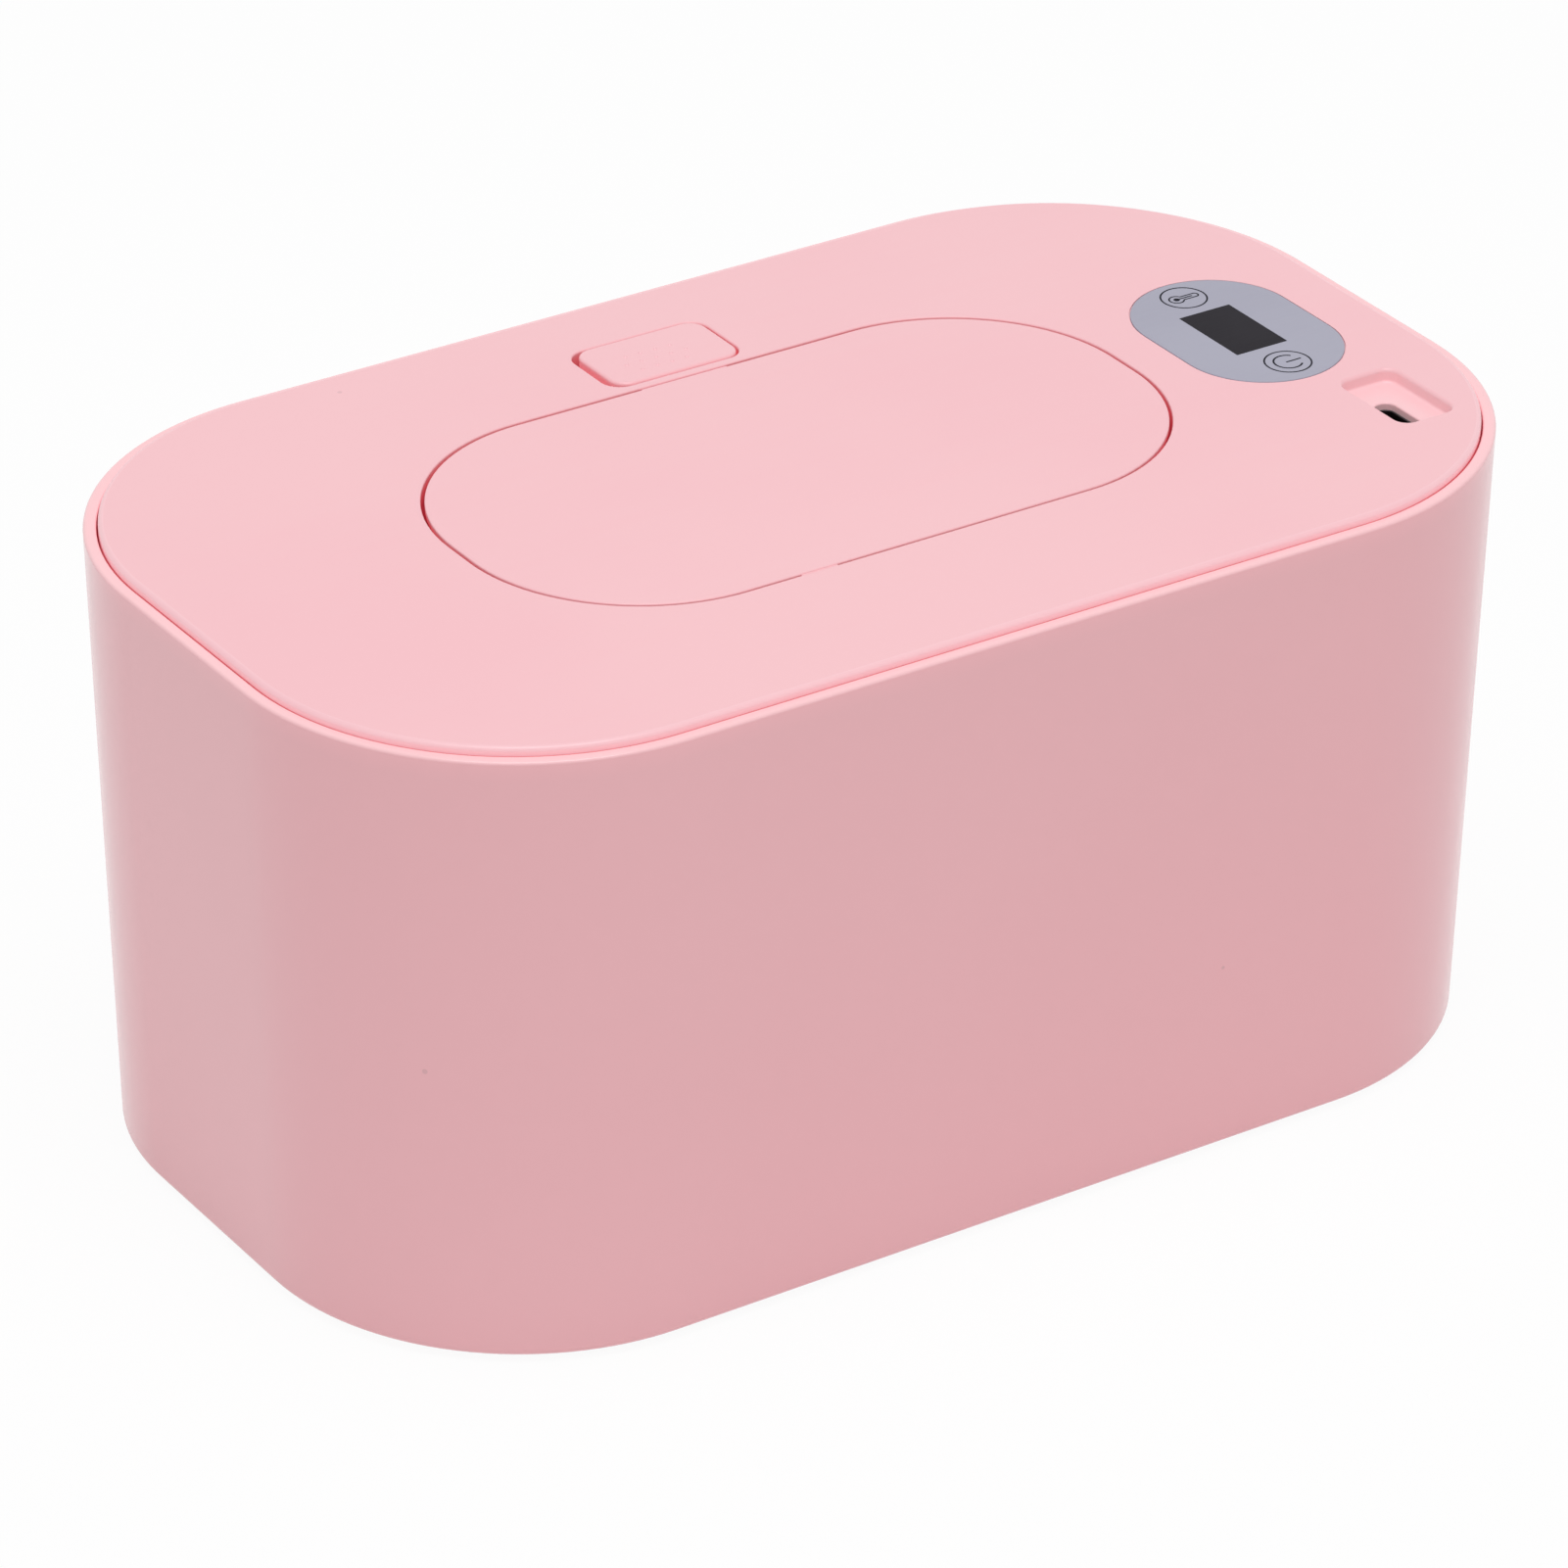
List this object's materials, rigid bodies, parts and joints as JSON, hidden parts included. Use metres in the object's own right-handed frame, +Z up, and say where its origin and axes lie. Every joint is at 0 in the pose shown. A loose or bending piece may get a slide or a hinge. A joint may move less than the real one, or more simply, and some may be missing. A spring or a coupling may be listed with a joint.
{
  "type": "baby wipe warmer",
  "caption": "Round-cornered wipe warmer with a drafted case, a lift-off heated cover, a flush flip lid with push button, touch panel and USB inlet.",
  "frame": {"origin": "on the standing surface, under the middle of the case", "axes": "+X along the case towards the control panel and USB inlet, +Y towards the release button (the lid's hinge is on the -Y side), +Z up"},
  "size_m": [0.2, 0.1198, 0.0974],
  "materials": {
    "case_plastic": "glossy moulded ABS, pink",
    "foot_rubber": "matt rubber",
    "tank_plastic": "satin moulded PP, white",
    "foam": "closed-cell foam",
    "cover_plastic": "satin moulded ABS, pink",
    "under_plastic": "satin moulded ABS, pink",
    "seal_rubber": "soft silicone",
    "spring_steel": "drawn steel",
    "overlay_film": "satin printed film, grey",
    "smoke_filter": "smoked acrylic",
    "display_black": "black moulding",
    "touch_foam": "conductive foam",
    "board_laminate": "solder-masked laminate",
    "component_black": "moulded epoxy",
    "socket_steel": "plated steel",
    "heater_aluminium": "bare rolled aluminium",
    "polyimide_film": "amber film",
    "thermistor_epoxy": "dipped epoxy",
    "fuse_ceramic": "ceramic",
    "red_insulation": "PVC insulation",
    "white_insulation": "PVC insulation",
    "screw_steel": "zinc-plated steel"
  },
  "bodies": {
    "base": {"outer_case": "case_plastic", "feet": "foot_rubber", "inner_tank": "tank_plastic", "insulation_sleeve": "foam", "insulation_pad": "foam"},
    "cover": {"top_cover": "cover_plastic", "under_cover": "under_plastic", "cover_seal": "seal_rubber", "hinge_pin": "spring_steel", "lid_spring": "spring_steel", "latch_spring": "spring_steel", "panel_overlay": "overlay_film", "display_filter": "smoke_filter", "display_module": "display_black", "touch_pads": "touch_foam", "control_board": "board_laminate", "board_components": "component_black", "usb_socket": "socket_steel", "usb_tongue": "component_black", "heater_plate": "heater_aluminium", "heating_film": "polyimide_film", "heater_insulation": "foam", "thermistor": "thermistor_epoxy", "thermal_fuse": "fuse_ceramic", "heater_leads": "red_insulation", "sensor_leads": "white_insulation", "cover_screws": "screw_steel", "plate_screws": "screw_steel", "board_screws": "screw_steel"},
    "lid": {"flip_lid": "cover_plastic", "lid_frame": "under_plastic", "lid_seal": "seal_rubber"},
    "button": {"release_button": "cover_plastic"},
    "latch": {"latch_slide": "under_plastic"}
  },
  "joints": [
    {"name": "cover_lift", "type": "slide", "parent": "base", "child": "cover", "axis": [0, 0, 1], "range_m": [0, 0.08]},
    {"name": "lid_hinge", "type": "hinge", "parent": "cover", "child": "lid", "pos_m": [0, -0.0355, 0.0926], "axis": [1, 0, 0], "range_deg": [0, 95]},
    {"name": "button_press", "type": "slide", "parent": "cover", "child": "button", "axis": [0, 0, -1], "range_m": [0, 0.0015], "stiffness_N_per_m": 600},
    {"name": "latch_travel", "type": "slide", "parent": "cover", "child": "latch", "axis": [0, 1, 0], "range_m": [0, 0.0015], "deforming": ["latch_spring"]}
  ],
  "couplings": [
    {"joint": "latch_travel", "follows": "button_press", "ratio": 1}
  ]
}
